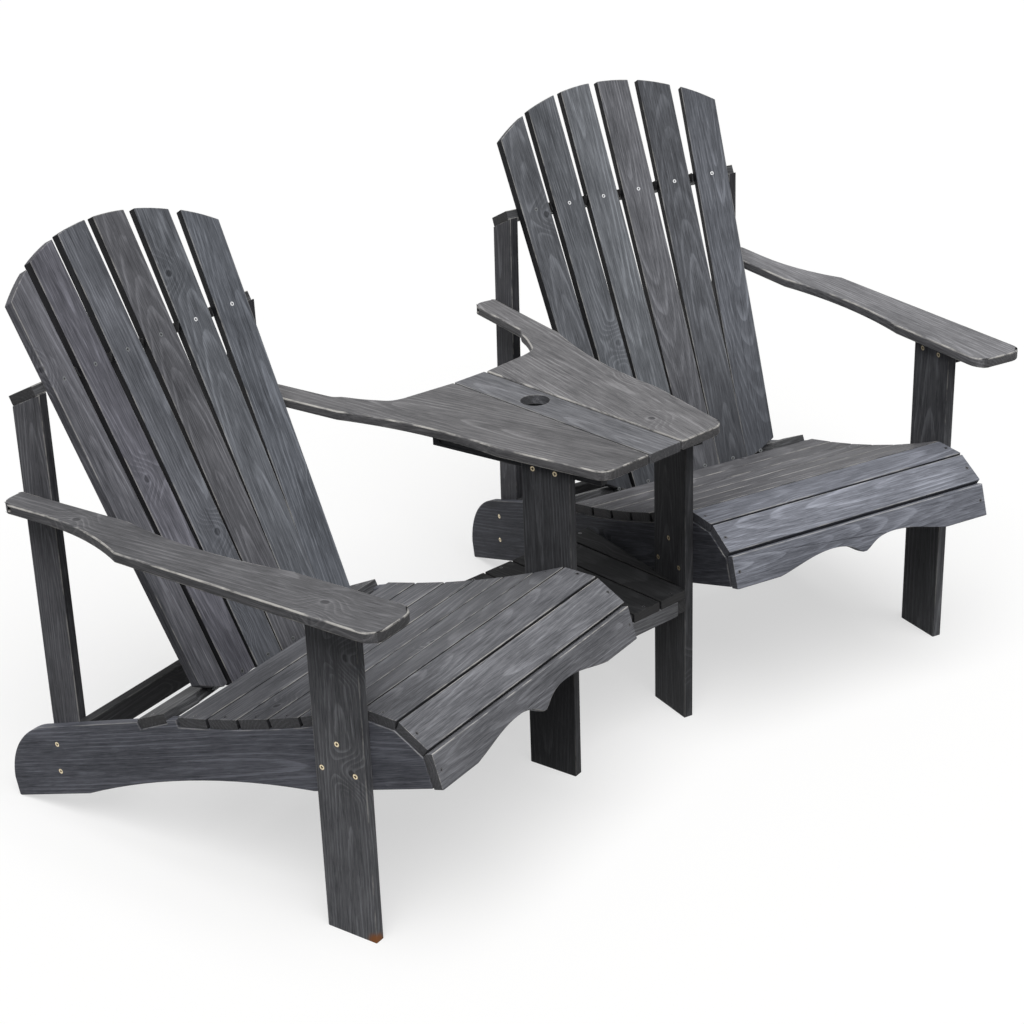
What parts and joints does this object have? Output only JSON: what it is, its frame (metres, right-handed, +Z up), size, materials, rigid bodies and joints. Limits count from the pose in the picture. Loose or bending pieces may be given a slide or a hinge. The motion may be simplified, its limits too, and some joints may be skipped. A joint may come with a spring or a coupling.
{
  "type": "garden chair set with table",
  "caption": "Slatted wooden garden armchairs with fanned, rounded backs, angled towards each other and joined by a wedge-shaped table with a parasol hole and a low shelf.",
  "frame": {"origin": "middle of the set's footprint, on the ground", "axes": "+Z up, the sitters face -Y, +X to the right seen from the front; the set is a mirror image about X = 0"},
  "size_m": [1.7176, 1.0092, 0.9559],
  "materials": {
    "frame_wood": "matt slate-grey stained softwood, darker on the sides",
    "seat_wood": "satin grey stained softwood",
    "back_wood": "satin bluish-grey stained softwood",
    "arm_wood": "satin grey stained softwood with paler worn edges",
    "shelf_wood": "satin grey stained softwood",
    "brass_screw": "yellow zinc-plated screw heads",
    "steel_screw": "bright zinc-plated screw heads",
    "dark_screw": "dull black screw heads"
  },
  "bodies": {
    "root": {"brass_screws": "brass_screw", "dark_screws": "dark_screw", "left_arm_batten_inner": "frame_wood", "left_arm_batten_outer": "frame_wood", "left_back_crosspiece": "frame_wood", "left_back_slat_1": "back_wood", "left_back_slat_2": "back_wood", "left_back_slat_3": "back_wood", "left_back_slat_4": "back_wood", "left_back_slat_5": "back_wood", "left_back_slat_6": "back_wood", "left_front_apron": "seat_wood", "left_front_leg_inner": "frame_wood", "left_front_leg_outer": "frame_wood", "left_lower_back_rail": "frame_wood", "left_outer_arm": "arm_wood", "left_rail_inner": "frame_wood", "left_rail_outer": "frame_wood", "left_rear_post_inner": "frame_wood", "left_rear_post_outer": "frame_wood", "left_rear_stretcher": "frame_wood", "left_seat_slat_level": "seat_wood", "left_seat_slat_nosing": "seat_wood", "left_seat_slats": "seat_wood", "left_shelf_board_outer": "shelf_wood", "left_shelf_ledger": "frame_wood", "left_table_board": "arm_wood", "right_arm_batten_inner": "frame_wood", "right_arm_batten_outer": "frame_wood", "right_back_crosspiece": "frame_wood", "right_back_slat_1": "back_wood", "right_back_slat_2": "back_wood", "right_back_slat_3": "back_wood", "right_back_slat_4": "back_wood", "right_back_slat_5": "back_wood", "right_back_slat_6": "back_wood", "right_front_apron": "seat_wood", "right_front_leg_inner": "frame_wood", "right_front_leg_outer": "frame_wood", "right_lower_back_rail": "frame_wood", "right_outer_arm": "arm_wood", "right_rail_inner": "frame_wood", "right_rail_outer": "frame_wood", "right_rear_post_inner": "frame_wood", "right_rear_post_outer": "frame_wood", "right_rear_stretcher": "frame_wood", "right_seat_slat_level": "seat_wood", "right_seat_slat_nosing": "seat_wood", "right_seat_slats": "seat_wood", "right_shelf_board_outer": "shelf_wood", "right_shelf_ledger": "frame_wood", "right_table_board": "arm_wood", "shelf_batten_front": "frame_wood", "shelf_batten_rear": "frame_wood", "shelf_boards_middle": "shelf_wood", "steel_back_screws": "steel_screw", "table_centre_board": "arm_wood", "table_cross_batten_front": "frame_wood", "table_cross_batten_rear": "frame_wood"}
  },
  "joints": []
}
